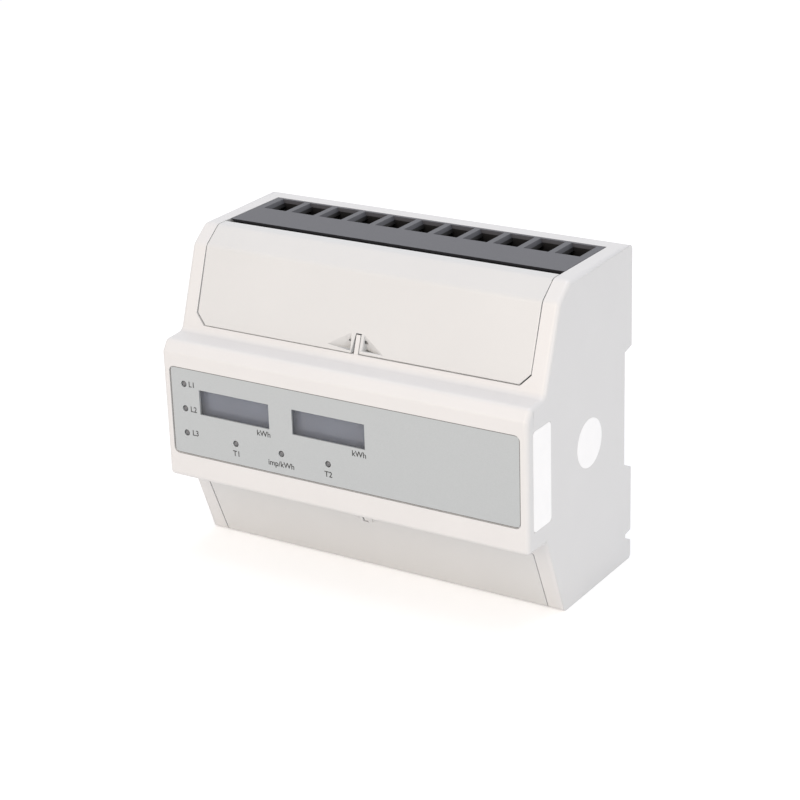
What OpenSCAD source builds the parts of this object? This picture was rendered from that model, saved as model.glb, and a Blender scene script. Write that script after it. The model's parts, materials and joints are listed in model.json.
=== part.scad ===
// Three-phase electricity meter for a 35 mm rail, seven modules wide.
// X runs along the width, the display faces -Y and Z is up.
// The origin is the middle of the case's outline on the plane of its bottom.

/* [Case] */
// Width over the side walls, seven modules of 18 mm
case_w = 126; // [120:1:152]
// Depth from the rail side to the display face
case_d = 63; // [60:0.5:76]
// Height from the bottom to the top
case_h = 100; // [96:0.5:120]
// Thickness of the side, nose and display walls
wall = 2.4; // [1.9:0.1:2.9]
// Thickness of the cheeks beside the covers and terminal blocks
cheek = 5.2; // [4.8:0.1:6.4]
// Depth of the strip behind each terminal block, at the top and the bottom
strip_d = 6; // [5.5:0.1:7.2]
// Height of those strips
strip_h = 6; // [5:0.1:7.2]
// Clearance between two fixed pieces that fit together
fit = 0.2; // [0.1:0.02:0.25]

/* [Nose with the display] */
// Distance of the nose's underside below the rail's centre line
nose_down = 24; // [19:0.5:26]
// Distance of the ledge on top of the nose above that line
nose_up = 20.2; // [16:0.1:23]
// How far the nose stands out from the feet of the slopes
nose_d = 9.9; // [8.5:0.1:12]
// Depth of the bevel along the nose's upper edge
bevel_d = 2.3; // [1.8:0.1:3]
// Height of that bevel
bevel_h = 3.4; // [2.5:0.1:4]
// Rise of the ledge from the bevel to the slope
ledge_rise = 0.4; // [0.2:0.1:0.8]
// Fillet at the foot of the upper slope
foot_r = 2.2; // [1:0.1:2.6]
// Rounding of the long edges beside the bevel on the nose
nose_r = 2; // [1:0.1:2.4]
// Rounding of the long edges beside the shoulder's bevel
crown_r = 3; // [1:0.1:3.5]
// Rounding of the case's other long edges
edge_r = 1.6; // [0.5:0.1:2]

/* [Slopes] */
// Run of the upper slope, from its foot back to the shoulder
slope_run = 8.8; // [7.5:0.1:10.5]
// Depth of the shoulder's bevel
shoulder_d = 6.4; // [5.2:0.1:7.6]
// Drop of that bevel below the top
shoulder_h = 4.9; // [4:0.1:5.8]
// Run of the lower slope, from its foot back to the bottom
low_run = 10.9; // [9:0.1:12]
// Thickness of the shelves that close the electronics off
shelf_t = 2.1; // [1.8:0.1:2.5]

/* [Rail] */
// Height of the rail itself
rail_size = 35; // [34.8:0.1:35.2]
// Height of the recess that takes the rail
rail_h = 35.7; // [35.3:0.1:36.5]
// Depth of that recess
rail_d = 4.4; // [3.9:0.1:5]
// Flare of the recess's upper side
flare_top = 1; // [0.6:0.1:1.6]
// Flare of its lower side
flare_low = 2.1; // [1:0.1:2.5]
// Overlap of the fixed hooks and the clip behind the rail's edges
hook_lap = 1.5; // [1:0.1:1.9]
// Thickness of the rail's edge that the hooks reach behind
rail_t = 1.2; // [1:0.1:1.5]
// Width of each fixed hook
hook_w = 14; // [10:0.5:18]
// Distance between the two hooks' middles
hook_pitch = 70; // [60:1:84]
// Height of the groove across the lower back
groove_z = 7.6; // [6.5:0.1:9]
// Width of that groove at its mouth
groove_w = 3.4; // [2.4:0.1:4]
// Depth of that groove
groove_d = 3.4; // [2.5:0.1:3.6]
// Travel of the clip
clip_travel = 4; // [3:0.1:4.5]
// Width of the clip's body
clip_w = 32; // [26:0.5:38]
// Width of the flange along each of its sides
flange_w = 2; // [1.5:0.1:3]
// Thickness of those flanges
flange_t = 1.6; // [1.2:0.1:2]
// Thickness of the base's lips over them
lip_t = 1.9; // [1.5:0.1:2.1]
// Running clearance of the clip
clip_gap = 0.2; // [0.15:0.05:0.3]
// Outer diameter of the clip's spring
spring_d = 3.2; // [2.6:0.1:3.4]
// Wire diameter of the spring
spring_wire = 0.5; // [0.4:0.05:0.7]
// Length of the spring at rest
spring_l = 12; // [10:0.5:13]

/* [Terminal covers] */
// Thickness of the covers
cover_t = 2; // [1.6:0.1:2.4]
// Gap between a cover's end and the cheek
cover_gap = 0.3; // [0.2:0.05:0.5]
// Gap between a cover's rear edge and the terminal block
rear_gap = 2.5; // [2.2:0.1:3]
// Chamfer of the cover's corners next to the nose
corner = 3.2; // [2:0.1:4]
// Radius of the hinge pins
pin_r = 1.1; // [0.9:0.05:1.3]
// Length of each hinge pin outside the cover's end
pin_l = 2.5; // [2:0.1:3.2]
// Radial clearance of the pins in the cheeks
pin_gap = 0.06; // [0.03:0.01:0.1]
// Distance of the hinge axis from the cover's rear edge
axis_in = 2.3; // [2.1:0.1:2.6]
// Distance of the hinge axis below the cover's outer face
axis_down = 2.2; // [2:0.1:2.4]
// Width of the slot for the sealing lug
slot_w = 2.1; // [1.9:0.1:2.6]
// Length of that slot up the cover
slot_l = 6; // [5:0.1:7]
// Thickness of the sealing lug
lug_t = 1.4; // [1:0.1:1.5]
// Thickness of the walls beside the slot and below the pockets
rim = 1.15; // [0.9:0.05:1.4]
// Half width of the two sealing pockets together
pocket_x = 10.5; // [8:0.1:12]
// Depth of the pockets beside the slot
pocket_d = 3; // [2:0.1:3.4]
// Thickness of the pad behind the pockets
pad_t = 4.4; // [4.2:0.1:5]
// Radius of the hole for the sealing wire
wire_r = 0.7; // [0.5:0.05:0.8]

/* [Main terminals] */
// Distance of the blocks' front behind the front edge of the top
block_in = 6.5; // [6.2:0.1:7]
// Undercut of their upper and lower front edges
block_lip = 1.4; // [1:0.1:1.6]
// Number of wire entries in the upper block
entries = 11; // [9:1:11]
// Distance between two entries
pitch = 10.2; // [9.9:0.1:10.4]
// Width of an entry's mouth
mouth_w = 8.2; // [7.6:0.1:8.5]
// Depth of an entry's mouth, front to back
mouth_d = 10.5; // [10.2:0.1:11.5]
// Depth of the mouth before it narrows
mouth_h = 2.2; // [1.5:0.1:3]
// Strip of the block behind the mouths
mouth_back = 1.1; // [1:0.1:1.6]
// Width lost on each side where the mouth narrows
neck = 0.9; // [0.6:0.1:1.1]
// Height of the space between the mouth and the clamp
neck_h = 5; // [4:0.1:6]
// Front-to-back size of a clamp
clamp_d = 10.3; // [9.8:0.1:10.6]
// Height of a clamp
clamp_h = 8.6; // [8:0.1:9.5]
// Wall of a clamp
clamp_t = 1.2; // [1:0.1:1.3]
// Thread wall of a clamp, at the screw
thread_t = 2.2; // [1.8:0.1:2.6]
// Radius of a clamp screw's shank
screw_r = 2.4; // [2:0.1:2.5]
// Radius of its head
head_r = 3.4; // [3.1:0.1:3.6]
// Height of its head
head_h = 3.2; // [2.5:0.1:3.6]
// Radius of the hole that a screwdriver goes into
driver_r = 3.8; // [3.7:0.05:3.9]
// Width of a phase bar
bar_w = 5.4; // [4.6:0.1:5.6]
// Thickness of a phase bar
bar_t = 1.5; // [1.2:0.1:1.6]
// Height of the cross bar that runs through a transformer
cross_h = 6; // [5:0.1:6.5]

/* [Auxiliary terminals] */
// Number of wire entries in the lower block
aux_entries = 8; // [4:1:8]
// Distance between two of them
aux_pitch = 7.5; // [7.4:0.1:9]
// Width of an auxiliary entry
aux_w = 5.4; // [4.8:0.1:5.6]
// Depth of an auxiliary entry
aux_h = 9; // [7:0.1:10]
// Distance of its front side from the rear side of the main entries
aux_in = 12; // [11:0.1:12.5]
// Radius of an auxiliary clamp screw
aux_screw_r = 1.4; // [1.1:0.1:1.5]
// Radius of the hole that its screwdriver goes into
aux_driver_r = 2.4; // [2.3:0.05:2.5]

/* [Display] */
// Width of the front label
label_w = 120.6; // [116:0.1:121]
// Height of the front label
label_h = 27.9; // [27:0.1:29]
// Distance of the label's middle below the rail's centre line
label_down = 1.95; // [1.6:0.05:2.4]
// Thickness of the label
label_t = 0.5; // [0.3:0.05:0.5]
// Depth of the label's recess
label_in = 0.6; // [0.6:0.05:0.7]
// Shift of the label in its recess, to the right and up
label_shift = 0.14; // [0:0.02:0.14]
// Radius of the label's corners
label_r = 1.6; // [1:0.1:2]
// Width of a display window
window_w = 25.4; // [24:0.1:26]
// Height of a display window
window_h = 7.9; // [7:0.1:8.4]
// Overlap of the label on the lens around a window
window_lap = 1.2; // [0.6:0.1:1.3]
// Thickness of a lens
lens_t = 1.5; // [1.2:0.1:1.6]
// Place of the left window's middle
window_1_x = -37.1; // [-37.4:0.1:-36.9]
// Place of the right window's middle
window_2_x = -3.45; // [-3.6:0.05:-3.2]
// Distance of the windows' middle above the rail's centre line
window_up = 2; // [1.8:0.1:2.2]
// Width of a liquid crystal glass
glass_w = 30.4; // [29:0.1:30.6]
// Height of a liquid crystal glass
glass_h = 14.2; // [13:0.1:14.4]
// Thickness of a liquid crystal glass
glass_t = 2.6; // [2.2:0.1:2.8]
// Wall of the frame round the glass
frame_t = 1.2; // [1:0.1:1.3]
// Radius of an indicator's tip
led_r = 0.95; // [0.7:0.05:1]
// Radius of an indicator's body
led_base_r = 1.25; // [1.1:0.05:1.3]
// Column of the three phase indicators
phase_led_x = -55.3; // [-55.5:0.1:-55]
// Distance between two phase indicators
phase_led_step = 7.9; // [7:0.1:8.2]
// Distance of the middle phase indicator below the rail's centre line
phase_led_down = 0.9; // [0.5:0.1:1.5]
// Place of the pulse indicator, between the two tariff indicators
pulse_x = -20.5; // [-20.8:0.1:-20.2]
// Distance from it to each tariff indicator
tariff_step = 16.6; // [16:0.1:17]
// Distance of the pulse and tariff indicators below the rail's centre line
pulse_down = 9; // [8.6:0.1:9.2]

/* [Boards] */
// Thickness of both circuit boards
board_t = 1.6; // [1.2:0.1:1.6]
// Distance from the display wall to the display board
display_gap = 4.5; // [4.4:0.1:4.8]
// Distance of the main board's rear face behind the display face
main_y = 27.5; // [26.5:0.1:27.9]
// Outer radius of a current transformer
ct_r = 10; // [8.5:0.1:10]
// Radius of the hole through it
ct_hole_r = 4.4; // [4.2:0.1:4.8]
// Width of a current transformer
ct_w = 9; // [7:0.1:10]
// Radius of a supply capacitor
cap_r = 5; // [4:0.1:6]
// Length of a supply capacitor
cap_l = 12; // [9:0.1:14]

/* [Stickers] */
// Distance of the stickers' middle below the rail's centre line
sticker_down = 2.55; // [1:0.05:3.5]
// Width of the sticker on the right side of the nose
side_label_w = 10.2; // [8:0.1:11]
// Height of that sticker
side_label_h = 30.4; // [26:0.1:33]
// Distance of its front edge behind the display face
side_label_in = 2.9; // [2:0.1:4]
// Diameter of the round sticker behind it
round_label_d = 15; // [12:0.5:17]
// Distance of its middle behind the display face
round_label_in = 36.3; // [30:0.1:44]
// Thickness of the stickers
sticker_t = 0.15; // [0.1:0.01:0.2]
// Depth of the shallow places that they are stuck in
sticker_in = 0.1; // [0.05:0.01:0.1]

/* [Hidden] */
$fn = 48;
eps = 0.01;

// Main planes of the case
front_y = -case_d / 2;
back_y = case_d / 2;
side_x = case_w / 2;
foot_y = front_y + nose_d;
shoulder_y = foot_y + slope_run;
crown_y = shoulder_y + shoulder_d;
shoulder_z = case_h - shoulder_h;
low_y = foot_y + low_run;
bay_x = side_x - cheek;
inner_x = side_x - wall;
rail_z = case_h / 2;
rail_z0 = rail_z - rail_h / 2;
rail_z1 = rail_z + rail_h / 2;
seat_y = back_y - rail_d;
nose_z0 = rail_z - nose_down;
nose_z1 = rail_z + nose_up;
ledge_z = nose_z1 - ledge_rise;
shelf_z1 = nose_z1 + shelf_t;
shelf_z0 = nose_z0 - shelf_t;

// Rear housing, a plate that closes the back
base_t = wall;
base_x = inner_x - fit;
base_z0 = strip_h + fit;
base_z1 = case_h - strip_h - fit;
groove_z1 = groove_z + groove_w / 2 + 0.1;
// Line of its outer face, from the groove to the top
base_line = [[back_y, groove_z1 + fit], [back_y, rail_z0 - flare_low], [seat_y, rail_z0],
  [seat_y, rail_z1], [back_y, rail_z1 + flare_top], [back_y, base_z1]];

// Terminal blocks
block_back = back_y - strip_d - fit / 2;
block_rear = back_y - base_t - fit;
block_front = crown_y + block_in;
block_x = bay_x - fit;
bay_y = block_front - fit / 2;
mouth_y1 = block_back - mouth_back + fit / 2;
mouth_y0 = mouth_y1 - mouth_d;
clamp_y1 = mouth_y1 - 0.1;
clamp_y0 = clamp_y1 - clamp_d;
clamp_z1 = case_h - mouth_h - neck_h;
clamp_z0 = clamp_z1 - clamp_h;
clamp_z = (clamp_z0 + clamp_z1) / 2;
clamp_w = mouth_w;
entry_x = [for (i = [0 : entries - 1]) (i - (entries - 1) / 2) * pitch];
aux_x = [for (i = [0 : aux_entries - 1]) (i - (aux_entries - 1) / 2) * aux_pitch];
phases = [for (i = [1 : 3 : entries - 1]) if (i < entries - 2) i];
tap_x = [for (i = phases) entry_x[i]];
aux_y0 = mouth_y1 - aux_in;
aux_y1 = aux_y0 + aux_w;
aux_clamp_z = aux_h + 1 + aux_w / 2;

// Display wall, and the stickers on the right side
label_z = rail_z - label_down;
window_z = rail_z + window_up;
lens_w = window_w + 2 * window_lap;
lens_h = window_h + 2 * window_lap;
glass_y0 = front_y + wall + 0.15;
glass_y1 = glass_y0 + glass_t;
pulse_z = rail_z - pulse_down;
led_places = [for (i = [-1 : 1]) [phase_led_x, rail_z - phase_led_down + i * phase_led_step],
  [pulse_x - tariff_step, pulse_z], [pulse_x + tariff_step, pulse_z], [pulse_x, pulse_z]];
sticker_z = rail_z - sticker_down;
side_label_y = [front_y + side_label_in, front_y + side_label_in + side_label_w];
side_label_z = [sticker_z - side_label_h / 2, sticker_z + side_label_h / 2];
round_label_y = front_y + round_label_in;

// Boards and what hangs between them
main_back = front_y + main_y;
main_front = main_back - board_t;
main_x = inner_x - 0.8;
main_z0 = nose_z0 + 0.4;
main_z1 = nose_z1 - 0.4;
display_front = front_y + wall + display_gap;
display_back = display_front + board_t;
display_x = inner_x - 1.1;
display_z0 = nose_z0 + wall + 1.6;
display_z1 = ledge_z - wall - 1.4;
bar_y1 = clamp_y1 - clamp_t - 0.05;
bar_y0 = bar_y1 - bar_t;
ct_y = main_back + ct_r + 0.2;
ct_z = nose_z1 - 3.2 - ct_r;
run_z1 = nose_z1 - 0.6;
run_z0 = run_z1 - bar_t;

// Pin header between the two boards
link_x = 36;
link_z = rail_z - 10;
link_n = 6;
link_step = 2.54;
link_split = (display_back + main_front) / 2;

// Places on the main board, and the sizes of what stands there
chip_at = [2, rail_z - 3];
chip_w = 10;
chip_t = 1.5;
crystal_at = [14, rail_z - 3];
cap_x = [-30, -17];
cap_z = rail_z - 13.5;
opto_x = [0, 10, 20];
opto_z = rail_z - 19.5;
regulator_at = [-44, rail_z - 12];
film_z = rail_z + 12.5;
film_x = 9;
varistor_x = -4;
varistor_r = 4.5;

// Fixings
main_boss_r = 2.8;
main_boss_x = base_x - main_boss_r - 0.2;
main_boss_z = [rail_z - 16.5, rail_z + 13.5];
case_boss_r = 3;
case_boss_x = inner_x - case_boss_r - 0.4;
case_boss_z = [rail_z - 8.5, rail_z + 5.5];
case_boss_y = seat_y - base_t - 2;
display_boss_r = 2.3;
display_boss_x = display_x - display_boss_r - 0.1;
display_boss_z = [display_z0 + display_boss_r + 0.2, display_z1 - display_boss_r - 0.2];

// Clip in its channel
clip_y0 = seat_y + clip_gap + 0.1;
clip_y1 = back_y - 0.3;
clip_x = clip_w / 2 + flange_w;
channel_x = clip_x + clip_gap;
hook_y = seat_y + rail_t + 0.2;
clip_top = rail_z - rail_size / 2 + hook_lap;
clip_z0 = 0.6;
peg_z = 12;
spring_y = (clip_y0 + clip_y1) / 2;
spring_turns = floor((spring_l - clip_travel) / (2 * spring_wire));

// Covers: corners of the outer line, from the rear edge to the edge beside the nose
cover_x = bay_x - cover_gap;
cover_rear = block_front - rear_gap;
upper_edge_z = shelf_z1 + 0.2;
lower_edge_z = shelf_z0 - 0.2;
upper_lean = slope_run / (shoulder_z - nose_z1);
lower_lean = low_run / nose_z0;
upper_line = [[cover_rear, case_h], [crown_y, case_h], [shoulder_y, shoulder_z],
  [foot_y + upper_lean * (upper_edge_z - nose_z1), upper_edge_z]];
lower_line = [[cover_rear, 0], [low_y, 0],
  [foot_y + lower_lean * (nose_z0 - lower_edge_z), lower_edge_z]];
axis_y = cover_rear - axis_in;

function unit(v) = v / norm(v);
function left(v) = [-v[1], v[0]];
// Corner i of a line moved sideways by t, with mitred corners
function moved(p, i, t) =
  let (n = len(p) - 1,
       a = left(unit(i > 0 ? p[i] - p[i - 1] : p[1] - p[0])),
       b = left(unit(i < n ? p[i + 1] - p[i] : p[n] - p[n - 1])),
       m = unit(a + b))
  p[i] + m * t / (m * a);
function shifted(p, t) = [for (i = [0 : len(p) - 1]) moved(p, i, t)];
// Outline of a plate of thickness t along a line, whose outer corners are rounded by r
function plate(p, t, r = 0) = concat(r > 0 ? softened(p, r) : p,
  [for (i = [len(p) - 1 : -1 : 0]) moved(p, i, t)]);
// Arc of radius r that rounds the corner b between a and c
function rounded(a, b, c, r, n = 4) =
  let (u = unit(a - b), v = unit(c - b), h = acos(u * v) / 2,
       m = b + unit(u + v) * r / sin(h),
       s = b + u * r / tan(h) - m, e = b + v * r / tan(h) - m,
       a0 = atan2(s[1], s[0]),
       turn = (atan2(e[1], e[0]) - a0 + 540) % 360 - 180)
  [for (i = [0 : n]) m + r * [cos(a0 + turn * i / n), sin(a0 + turn * i / n)]];
// Open line whose inner corners are rounded by r
function softened(p, r) = [p[0], for (i = [1 : len(p) - 2]) each rounded(p[i - 1], p[i], p[i + 1], r),
  p[len(p) - 1]];
// Closed outline whose corner i is rounded by radii[i]
function soft(p, radii) =
  [for (i = [0 : len(p) - 1])
     let (n = len(p), a = p[(i + n - 1) % n], c = p[(i + 1) % n])
     each radii[i] > 0 ? rounded(a, p[i], c, radii[i]) : [p[i]]];

// Box between two limits on each axis
module span(x, y, z) translate([x[0], y[0], z[0]]) cube([x[1] - x[0], y[1] - y[0], z[1] - z[0]]);
// Side-view outline (Y, Z) drawn out from x0 to x1
module along_x(x0, x1) translate([x0, 0, 0]) rotate([90, 0, 90]) linear_extrude(x1 - x0) children();
// Front-view outline (X, Z) drawn out from y0 to y1
module along_y(y0, y1) translate([0, y1, 0]) rotate([90, 0, 0]) linear_extrude(y1 - y0) children();
module rod_x(y, z, x0, x1, r) translate([x0, y, z]) rotate([0, 90, 0]) cylinder(h = x1 - x0, r = r);
module rod_y(x, z, y0, y1, r) translate([x, y0, z]) rotate([-90, 0, 0]) cylinder(h = y1 - y0, r = r);
module round_rect(w, h, r) {
  square([w - 2 * r, h], center = true);
  square([w, h - 2 * r], center = true);
  for (x = [-1, 1], z = [-1, 1]) translate([x * (w / 2 - r), z * (h / 2 - r)]) circle(r = r);
}
module both_sides() for (s = [0, 1]) mirror([s, 0, 0]) children();

// Side view of the whole case, with the rail recess and the groove
case_line = soft(
  [[back_y, case_h], [crown_y, case_h], [shoulder_y, shoulder_z], [foot_y, nose_z1],
   [front_y + bevel_d, ledge_z], [front_y, ledge_z - bevel_h], [front_y, nose_z0],
   [foot_y, nose_z0], [low_y, 0], [back_y, 0],
   [back_y, groove_z - groove_w / 2], [back_y - groove_d, groove_z - 0.4],
   [back_y - groove_d, groove_z + 1.2], [back_y, groove_z + groove_w / 2],
   [back_y, rail_z0 - flare_low], [seat_y, rail_z0], [seat_y, rail_z1],
   [back_y, rail_z1 + flare_top]],
  [edge_r, crown_r, crown_r, foot_r, nose_r, nose_r, edge_r, 0, edge_r, edge_r,
   0, 0, 0, 0, 0, 0, 0, 0]);

// Side view of the space for the electronics
module electronics_space()
  polygon([[front_y + wall, nose_z0 + wall], [front_y + wall, ledge_z - bevel_h - 0.3],
    [front_y + wall + 1.4, ledge_z - wall], [foot_y + 1.6, nose_z1 - wall],
    [foot_y + 2.8, nose_z1], [back_y + 1, nose_z1], [back_y + 1, nose_z0],
    [foot_y + 2.8, nose_z0], [foot_y + 1.6, nose_z0 + wall]]);

// Front view of the opening that a cover closes, above or below the nose
module bay_outline(edge, far) {
  s = sign(far - edge);
  polygon([[-bay_x, far], [-bay_x, edge + s * corner], [-bay_x + corner, edge],
    [bay_x - corner, edge], [bay_x, edge + s * corner], [bay_x, far]]);
}

// Rib with a wire hole that a cover's slot slips over; line is the slope from the nose outwards
module sealing_lug(foot, lean, z0, s) {
  a = atan(lean);
  top = foot + [lean, s] * (shelf_t + 0.2 + (slot_l - 0.4) * cos(a));
  in = [cos(a), -s * sin(a)];
  difference() {
    along_x(-lug_t / 2 + fit, lug_t / 2 + fit)
      polygon([foot + [0.15, 0], top + in * 0.15, top + in * 3.4, [foot[0] + 5.5, z0], foot + [3, 0]]);
    sealing_hole(foot, lean, s);
  }
}
// Hole for the sealing wire, across the slot, lug and pockets
module sealing_hole(foot, lean, s) {
  p = foot + [lean, s] * (shelf_t + 3.4);
  rod_x(p[0] + 1.7, p[1], -3.4, 3.4, wire_r);
}

module front_housing() {
  color("gainsboro") difference() {
    union() {
      difference() {
        along_x(-side_x, side_x) polygon(case_line);
        along_x(-inner_x, inner_x) electronics_space();
        along_y(front_y - 1, bay_y) bay_outline(shelf_z1, case_h + 1);
        along_y(front_y - 1, bay_y) intersection() {
          bay_outline(shelf_z0, -1);
          translate([-side_x, -2]) square([case_w, shelf_z0 + 3]);
        }
        span([-bay_x, bay_x], [bay_y - eps, back_y + 1], [nose_z1 - 1, case_h - strip_h]);
        span([-bay_x, bay_x], [bay_y - eps, back_y - strip_d], [nose_z1 - 1, case_h + 1]);
        span([-bay_x, bay_x], [bay_y - eps, back_y + 1], [strip_h, nose_z0 + 1]);
        span([-bay_x, bay_x], [bay_y - eps, back_y - strip_d], [-1, nose_z0 + 1]);
        along_x(-inner_x, inner_x) polygon(plate(shifted(base_line, -1), base_t + 1.1));
        span([-channel_x, channel_x], [seat_y - base_t - fit, back_y + 1], [-1, strip_h + 1]);
      }
      case_bosses();
      for (x = [-1, 1], z = display_boss_z)
        rod_y(x * display_boss_x, z, front_y + wall - 0.5, display_front, display_boss_r);
      sealing_lug([foot_y, nose_z1], upper_lean, shelf_z1 - 0.5, 1);
      sealing_lug([foot_y, nose_z0], lower_lean, shelf_z0 + 0.5, -1);
    }
    translate([0, 0, label_z]) along_y(front_y - 1, front_y + label_in)
      round_rect(label_w + 2 * fit, label_h + 2 * fit, label_r + fit);
    for (x = [window_1_x, window_2_x])
      span([x - lens_w / 2 - 0.1, x + lens_w / 2 + 0.1], [front_y - 1, front_y + wall + 1],
        [window_z - lens_h / 2 - 0.1, window_z + lens_h / 2 + 0.1]);
    for (p = led_places) rod_y(p[0], p[1], front_y - 1, front_y + wall + 1, led_r + 0.2);
    for (x = [-1, 1], z = display_boss_z)
      rod_y(x * display_boss_x, z, front_y + wall + 0.6, display_front + 1, 0.9);
    both_sides() {
      rod_x(axis_y, case_h - axis_down, bay_x - 1, bay_x + pin_l, pin_r + pin_gap);
      rod_x(axis_y, axis_down, bay_x - 1, bay_x + pin_l, pin_r + pin_gap);
    }
    span([side_x - sticker_in, side_x + 1], side_label_y, side_label_z);
    rod_x(round_label_y, sticker_z, side_x - sticker_in, side_x + 1, round_label_d / 2 + 0.02);
  }
}
// Bosses on the side walls that the screws of the rear housing bite into
module case_bosses() both_sides() for (z = case_boss_z) difference() {
  union() {
    rod_y(case_boss_x, z, main_back + 0.5, case_boss_y - fit, case_boss_r);
    span([case_boss_x, inner_x + 0.5], [main_back + 0.5, case_boss_y - fit], [z - 1.2, z + 1.2]);
  }
  rod_y(case_boss_x, z, case_boss_y - 13, case_boss_y + 1, 1.25);
}

// Wall behind the groove, on the right half, grown by a clearance g
module groove_wall(g) span([channel_x - g, block_x + g],
  [back_y - groove_d - base_t - g, back_y - groove_d], [base_z0 - g, groove_z1 + base_t + g]);

module rear_housing() {
  color("whitesmoke") difference() {
    union() {
      difference() {
        along_x(-base_x, base_x) polygon(plate(base_line, base_t));
        span([-channel_x, channel_x], [seat_y - base_t - 1, back_y + 1], [0, rail_z0 + 1]);
      }
      span([-channel_x - base_t, channel_x + base_t], [seat_y - base_t, seat_y],
        [base_z0, rail_z0 + 2]);
      both_sides() {
        groove_wall(0);
        span([channel_x, channel_x + base_t], [seat_y - base_t, back_y],
          [groove_z1 + fit, rail_z0 - flare_low]);
        span([clip_w / 2 + clip_gap, channel_x + base_t], [back_y - lip_t, back_y],
          [groove_z1 + fit, rail_z0 - flare_low]);
        span([hook_pitch / 2 - hook_w / 2, hook_pitch / 2 + hook_w / 2], [hook_y, back_y],
          [rail_z + rail_size / 2 - hook_lap, rail_z1 + flare_top + 1]);
        for (z = main_boss_z)
          rod_y(main_boss_x, z, main_back, seat_y - base_t + 0.5, main_boss_r);
        for (z = case_boss_z)
          rod_y(case_boss_x, z, case_boss_y, seat_y - base_t + 0.5, case_boss_r);
      }
      span([-1.4, 1.4], [seat_y - 1, clip_y1 - 0.4], [peg_z - 3, peg_z]);
    }
    both_sides() {
      for (z = main_boss_z) rod_y(main_boss_x, z, main_back - 1, main_back + 9, 0.9);
      for (z = case_boss_z) {
        rod_y(case_boss_x, z, case_boss_y - 1, seat_y + 1, 1.6);
        rod_y(case_boss_x, z, case_boss_y + 2, seat_y + 1, 2.6);
      }
    }
  }
}

module front_label() color("silver") difference() {
  translate([label_shift, 0, label_z + label_shift]) along_y(front_y + label_in - label_t, front_y + label_in)
    round_rect(label_w, label_h, label_r);
  for (x = [window_1_x, window_2_x])
    span([x - window_w / 2, x + window_w / 2], [front_y - 1, front_y + wall],
      [window_z - window_h / 2, window_z + window_h / 2]);
  for (p = led_places) rod_y(p[0], p[1], front_y - 1, front_y + wall, led_r + 0.05);
}

module lens(x) color("lightsteelblue", 0.4)
  span([x - lens_w / 2, x + lens_w / 2], [front_y + label_in, front_y + label_in + lens_t],
    [window_z - lens_h / 2, window_z + lens_h / 2]);
module lens_left() lens(window_1_x);
module lens_right() lens(window_2_x);

module lcd_glass(x) color("slategray")
  span([x - glass_w / 2, x + glass_w / 2], [glass_y0, glass_y1],
    [window_z - glass_h / 2, window_z + glass_h / 2]);
module lcd_glass_left() lcd_glass(window_1_x);
module lcd_glass_right() lcd_glass(window_2_x);

module lcd_frame(x) color("white") difference() {
  w = glass_w / 2 + 0.1;
  h = glass_h / 2 + 0.1;
  span([x - w - frame_t, x + w + frame_t], [front_y + wall + 0.05, display_front],
    [window_z - h - frame_t, window_z + h + frame_t]);
  span([x - w, x + w], [front_y, display_front + 1], [window_z - h, window_z + h]);
}
module lcd_frame_left() lcd_frame(window_1_x);
module lcd_frame_right() lcd_frame(window_2_x);

// Rubber strips with fine conductors that join each glass to the display board
module zebra_strips() color("dimgray") for (x = [window_1_x, window_2_x], s = [-1, 1])
  span([x - glass_w / 2 + 1, x + glass_w / 2 - 1], [glass_y1, display_front],
    [window_z + s * (glass_h / 2 - 1.6) - 1, window_z + s * (glass_h / 2 - 1.6) + 1]);

module led(p) {
  rod_y(p[0], p[1], display_front - 2, display_front, led_base_r);
  rod_y(p[0], p[1], front_y + label_in + 0.3, display_front - 1, led_r);
  translate([p[0], front_y + label_in + 0.3, p[1]]) intersection() {
    sphere(r = led_r);
    translate([-led_r, -led_r, -led_r]) cube([2 * led_r, led_r + 0.1, 2 * led_r]);
  }
}
module indicator_leds() color("gray") for (i = [0 : 4]) led(led_places[i]);
module pulse_led() color("gray") led(led_places[5]);

module display_board() color("darkgreen") difference() {
  span([-display_x, display_x], [display_front, display_back], [display_z0, display_z1]);
  for (x = [-1, 1], z = display_boss_z)
    rod_y(x * display_boss_x, z, display_front - 1, display_back + 1, 1.2);
}
module display_board_screws() color("silver") for (x = [-1, 1], z = display_boss_z)
  board_screw(x * display_boss_x, z, display_back, -1, 0.85, 1.8);
// Screw along Y whose head stands on the plane y, on the side opposite to s
module board_screw(x, z, y, s, r, head) difference() {
  union() {
    rod_y(x, z, min(y, y + s * 5), max(y, y + s * 5), r);
    rod_y(x, z, min(y, y - s * 1.3), max(y, y - s * 1.3), head);
  }
  for (a = [0, 90]) translate([x, y - s * 1.3, z]) rotate([0, a, 0])
    cube([head * 1.3, 1.2, 0.4], center = true);
}

module main_board() color("darkgreen") difference() {
  span([-main_x, main_x], [main_front, main_back], [main_z0, main_z1]);
  both_sides() {
    span([case_boss_x - case_boss_r - 0.6, side_x], [main_front - 1, main_back + 1],
      [case_boss_z[0] - case_boss_r - 0.7, case_boss_z[1] + case_boss_r + 0.7]);
    for (z = main_boss_z) rod_y(main_boss_x, z, main_front - 1, main_back + 1, 1.2);
  }
}
module main_board_screws() color("silver") for (x = [-1, 1], z = main_boss_z)
  board_screw(x * main_boss_x, z, main_front, 1, 0.85, 1.8);

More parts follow.
